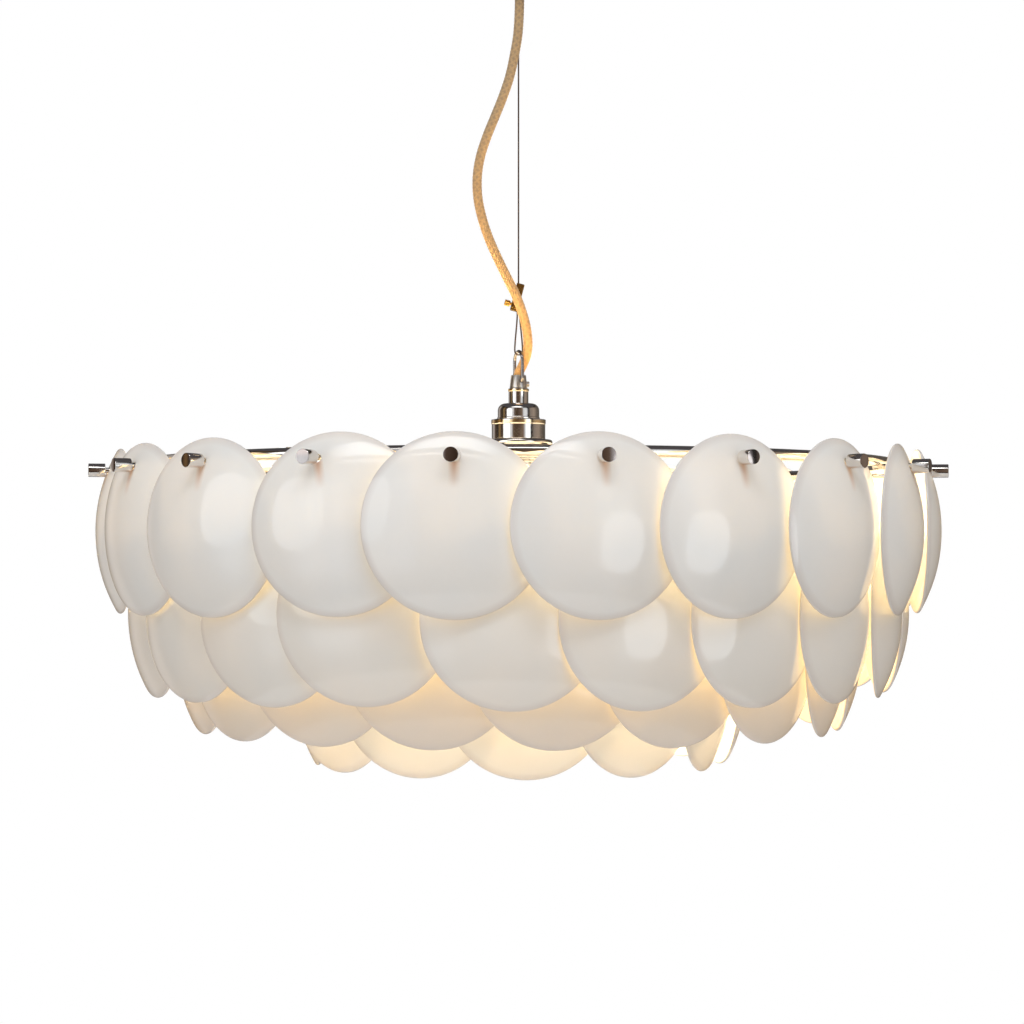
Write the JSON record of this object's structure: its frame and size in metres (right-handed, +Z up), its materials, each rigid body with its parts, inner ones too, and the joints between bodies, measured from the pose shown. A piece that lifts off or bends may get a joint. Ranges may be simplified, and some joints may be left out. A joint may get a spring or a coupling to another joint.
{
  "type": "pendant chandelier",
  "caption": "wide pendant lamp with overlapping tiers of domed translucent china discs on nickel hoops, hung on a steel wire with a braided flex",
  "frame": {"origin": "middle of the ceiling bracket's top face, which lies against the ceiling, over the suspension wire", "axes": "+Z up, -Y towards the side seen in the picture, +X to the right of that side"},
  "size_m": [0.6454, 0.6454, 0.6271],
  "materials": {
    "china": "glossy white bone china, translucent",
    "nickel": "polished nickel",
    "brass": "polished brass",
    "steel": "drawn stainless steel",
    "braid": "woven tan braid over flex",
    "ceramic": "matt white ceramic",
    "opal_glass": "opal glass, lit warm white"
  },
  "bodies": {
    "ceiling_rose": {"ceiling_bracket": "steel", "rose_cup": "nickel", "wire_anchor": "nickel", "rose_cord_gland": "nickel", "terminal_block": "ceramic", "flex_cord": "braid"},
    "suspension": {"suspension_wire": "steel", "wire_gripper": "brass", "wire_loop": "steel"},
    "thumb_screw": {"gripper_thumb_screw": "brass"},
    "pendant": {"hook_bail": "steel", "cord_grip": "steel", "cord_grip_screw": "steel", "lampholder_cap": "nickel", "lampholder_skirt": "nickel", "lampholder_insert": "ceramic", "shade_ring_upper": "nickel", "shade_ring_lower": "nickel", "spider_frame": "nickel", "hoop_1": "nickel", "hoop_2": "nickel", "hoop_3": "nickel", "hoop_4": "nickel", "disc_garland_2": "china", "disc_garland_3": "china"},
    "bulb": {"bulb_cap": "steel", "bulb_glass": "opal_glass"},
    "disc_1_01": {"disc_1_01": "china"},
    "disc_1_02": {"disc_1_02": "china"},
    "disc_1_03": {"disc_1_03": "china"},
    "disc_1_04": {"disc_1_04": "china"},
    "disc_1_05": {"disc_1_05": "china"},
    "disc_1_06": {"disc_1_06": "china"},
    "disc_1_07": {"disc_1_07": "china"},
    "disc_1_08": {"disc_1_08": "china"},
    "disc_1_09": {"disc_1_09": "china"},
    "disc_1_10": {"disc_1_10": "china"},
    "disc_1_11": {"disc_1_11": "china"},
    "disc_1_12": {"disc_1_12": "china"},
    "disc_1_13": {"disc_1_13": "china"},
    "disc_1_14": {"disc_1_14": "china"},
    "disc_1_15": {"disc_1_15": "china"},
    "disc_1_16": {"disc_1_16": "china"},
    "disc_1_17": {"disc_1_17": "china"},
    "disc_1_18": {"disc_1_18": "china"},
    "disc_1_19": {"disc_1_19": "china"},
    "disc_1_20": {"disc_1_20": "china"},
    "disc_4_01": {"disc_4_01": "china"},
    "disc_4_02": {"disc_4_02": "china"},
    "disc_4_03": {"disc_4_03": "china"},
    "disc_4_04": {"disc_4_04": "china"},
    "disc_4_05": {"disc_4_05": "china"},
    "disc_4_06": {"disc_4_06": "china"},
    "disc_4_07": {"disc_4_07": "china"},
    "disc_4_08": {"disc_4_08": "china"},
    "disc_4_09": {"disc_4_09": "china"},
    "disc_4_10": {"disc_4_10": "china"},
    "disc_4_11": {"disc_4_11": "china"},
    "disc_4_12": {"disc_4_12": "china"}
  },
  "joints": [
    {"name": "wire_swing", "type": "hinge", "parent": "ceiling_rose", "child": "suspension", "pos_m": [0, 0, -0.0336], "axis": [0, 1, 0], "range_deg": [-8, 8], "deforming": ["flex_cord"]},
    {"name": "lamp_swing", "type": "hinge", "parent": "suspension", "child": "pendant", "pos_m": [0, 0, -0.315], "axis": [1, 0, 0], "range_deg": [-5, 5], "deforming": ["flex_cord"]},
    {"name": "thumb_screw_turn", "type": "hinge", "parent": "suspension", "child": "thumb_screw", "pos_m": [-0.0054, 0, -0.2766], "axis": [-0.9664, 0, 0.2571], "range_deg": [0, 540]},
    {"name": "bulb_out", "type": "slide", "parent": "pendant", "child": "bulb", "axis": [0, 0, -1], "range_m": [0, 0.026]},
    {"name": "disc_1_01_swing", "type": "hinge", "parent": "pendant", "child": "disc_1_01", "pos_m": [-0.30448, -0.05533, -0.406], "axis": [-0.9839, -0.1788, 0], "range_deg": [-14, 7]},
    {"name": "disc_1_02_swing", "type": "hinge", "parent": "pendant", "child": "disc_1_02", "pos_m": [-0.27248, -0.14672, -0.406], "axis": [-0.8805, -0.4741, 0], "range_deg": [-14, 7]},
    {"name": "disc_1_03_swing", "type": "hinge", "parent": "pendant", "child": "disc_1_03", "pos_m": [-0.21381, -0.22374, -0.406], "axis": [-0.6909, -0.723, 0], "range_deg": [-14, 7]},
    {"name": "disc_1_04_swing", "type": "hinge", "parent": "pendant", "child": "disc_1_04", "pos_m": [-0.1342, -0.27886, -0.406], "axis": [-0.4337, -0.9011, 0], "range_deg": [-7, 7]},
    {"name": "disc_1_05_swing", "type": "hinge", "parent": "pendant", "child": "disc_1_05", "pos_m": [-0.04147, -0.30668, -0.406], "axis": [-0.134, -0.991, 0], "range_deg": [-14, 7]},
    {"name": "disc_1_06_swing", "type": "hinge", "parent": "pendant", "child": "disc_1_06", "pos_m": [0.05533, -0.30448, -0.406], "axis": [0.1788, -0.9839, 0], "range_deg": [-14, 7]},
    {"name": "disc_1_07_swing", "type": "hinge", "parent": "pendant", "child": "disc_1_07", "pos_m": [0.14672, -0.27248, -0.406], "axis": [0.4741, -0.8805, 0], "range_deg": [-14, 7]},
    {"name": "disc_1_08_swing", "type": "hinge", "parent": "pendant", "child": "disc_1_08", "pos_m": [0.22374, -0.21381, -0.406], "axis": [0.723, -0.6909, 0], "range_deg": [-14, 7]},
    {"name": "disc_1_09_swing", "type": "hinge", "parent": "pendant", "child": "disc_1_09", "pos_m": [0.27886, -0.1342, -0.406], "axis": [0.9011, -0.4337, 0], "range_deg": [-14, 7]},
    {"name": "disc_1_10_swing", "type": "hinge", "parent": "pendant", "child": "disc_1_10", "pos_m": [0.30668, -0.04147, -0.406], "axis": [0.991, -0.134, 0], "range_deg": [-14, 7]},
    {"name": "disc_1_11_swing", "type": "hinge", "parent": "pendant", "child": "disc_1_11", "pos_m": [0.30448, 0.05533, -0.406], "axis": [0.9839, 0.1788, 0], "range_deg": [-14, 7]},
    {"name": "disc_1_12_swing", "type": "hinge", "parent": "pendant", "child": "disc_1_12", "pos_m": [0.27248, 0.14672, -0.406], "axis": [0.8805, 0.4741, 0], "range_deg": [-14, 7]},
    {"name": "disc_1_13_swing", "type": "hinge", "parent": "pendant", "child": "disc_1_13", "pos_m": [0.21381, 0.22374, -0.406], "axis": [0.6909, 0.723, 0], "range_deg": [-14, 7]},
    {"name": "disc_1_14_swing", "type": "hinge", "parent": "pendant", "child": "disc_1_14", "pos_m": [0.1342, 0.27886, -0.406], "axis": [0.4337, 0.9011, 0], "range_deg": [-14, 7]},
    {"name": "disc_1_15_swing", "type": "hinge", "parent": "pendant", "child": "disc_1_15", "pos_m": [0.04147, 0.30668, -0.406], "axis": [0.134, 0.991, 0], "range_deg": [-14, 7]},
    {"name": "disc_1_16_swing", "type": "hinge", "parent": "pendant", "child": "disc_1_16", "pos_m": [-0.05533, 0.30448, -0.406], "axis": [-0.1788, 0.9839, 0], "range_deg": [-14, 7]},
    {"name": "disc_1_17_swing", "type": "hinge", "parent": "pendant", "child": "disc_1_17", "pos_m": [-0.14672, 0.27248, -0.406], "axis": [-0.4741, 0.8805, 0], "range_deg": [-14, 7]},
    {"name": "disc_1_18_swing", "type": "hinge", "parent": "pendant", "child": "disc_1_18", "pos_m": [-0.22374, 0.21381, -0.406], "axis": [-0.723, 0.6909, 0], "range_deg": [-14, 7]},
    {"name": "disc_1_19_swing", "type": "hinge", "parent": "pendant", "child": "disc_1_19", "pos_m": [-0.27886, 0.1342, -0.406], "axis": [-0.9011, 0.4337, 0], "range_deg": [-14, 7]},
    {"name": "disc_1_20_swing", "type": "hinge", "parent": "pendant", "child": "disc_1_20", "pos_m": [-0.30668, 0.04147, -0.406], "axis": [-0.991, 0.134, 0], "range_deg": [-14, 7]},
    {"name": "disc_4_01_swing", "type": "hinge", "parent": "pendant", "child": "disc_4_01", "pos_m": [-0.16226, -0.00822, -0.522], "axis": [-0.9987, -0.0506, 0], "range_deg": [-16, 10]},
    {"name": "disc_4_02_swing", "type": "hinge", "parent": "pendant", "child": "disc_4_02", "pos_m": [-0.13641, -0.08825, -0.522], "axis": [-0.8396, -0.5432, 0], "range_deg": [-16, 10]},
    {"name": "disc_4_03_swing", "type": "hinge", "parent": "pendant", "child": "disc_4_03", "pos_m": [-0.07401, -0.14463, -0.522], "axis": [-0.4555, -0.8902, 0], "range_deg": [-16, 10]},
    {"name": "disc_4_04_swing", "type": "hinge", "parent": "pendant", "child": "disc_4_04", "pos_m": [0.00822, -0.16226, -0.522], "axis": [0.0506, -0.9987, 0], "range_deg": [-16, 10]},
    {"name": "disc_4_05_swing", "type": "hinge", "parent": "pendant", "child": "disc_4_05", "pos_m": [0.08825, -0.13641, -0.522], "axis": [0.5432, -0.8396, 0], "range_deg": [-16, 10]},
    {"name": "disc_4_06_swing", "type": "hinge", "parent": "pendant", "child": "disc_4_06", "pos_m": [0.14463, -0.07401, -0.522], "axis": [0.8902, -0.4555, 0], "range_deg": [-16, 10]},
    {"name": "disc_4_07_swing", "type": "hinge", "parent": "pendant", "child": "disc_4_07", "pos_m": [0.16226, 0.00822, -0.522], "axis": [0.9987, 0.0506, 0], "range_deg": [-16, 10]},
    {"name": "disc_4_08_swing", "type": "hinge", "parent": "pendant", "child": "disc_4_08", "pos_m": [0.13641, 0.08825, -0.522], "axis": [0.8396, 0.5432, 0], "range_deg": [-16, 10]},
    {"name": "disc_4_09_swing", "type": "hinge", "parent": "pendant", "child": "disc_4_09", "pos_m": [0.07401, 0.14463, -0.522], "axis": [0.4555, 0.8902, 0], "range_deg": [-16, 10]},
    {"name": "disc_4_10_swing", "type": "hinge", "parent": "pendant", "child": "disc_4_10", "pos_m": [-0.00822, 0.16226, -0.522], "axis": [-0.0506, 0.9987, 0], "range_deg": [-16, 10]},
    {"name": "disc_4_11_swing", "type": "hinge", "parent": "pendant", "child": "disc_4_11", "pos_m": [-0.08825, 0.13641, -0.522], "axis": [-0.5432, 0.8396, 0], "range_deg": [-16, 10]},
    {"name": "disc_4_12_swing", "type": "hinge", "parent": "pendant", "child": "disc_4_12", "pos_m": [-0.14463, 0.07401, -0.522], "axis": [-0.8902, 0.4555, 0], "range_deg": [-16, 10]}
  ]
}
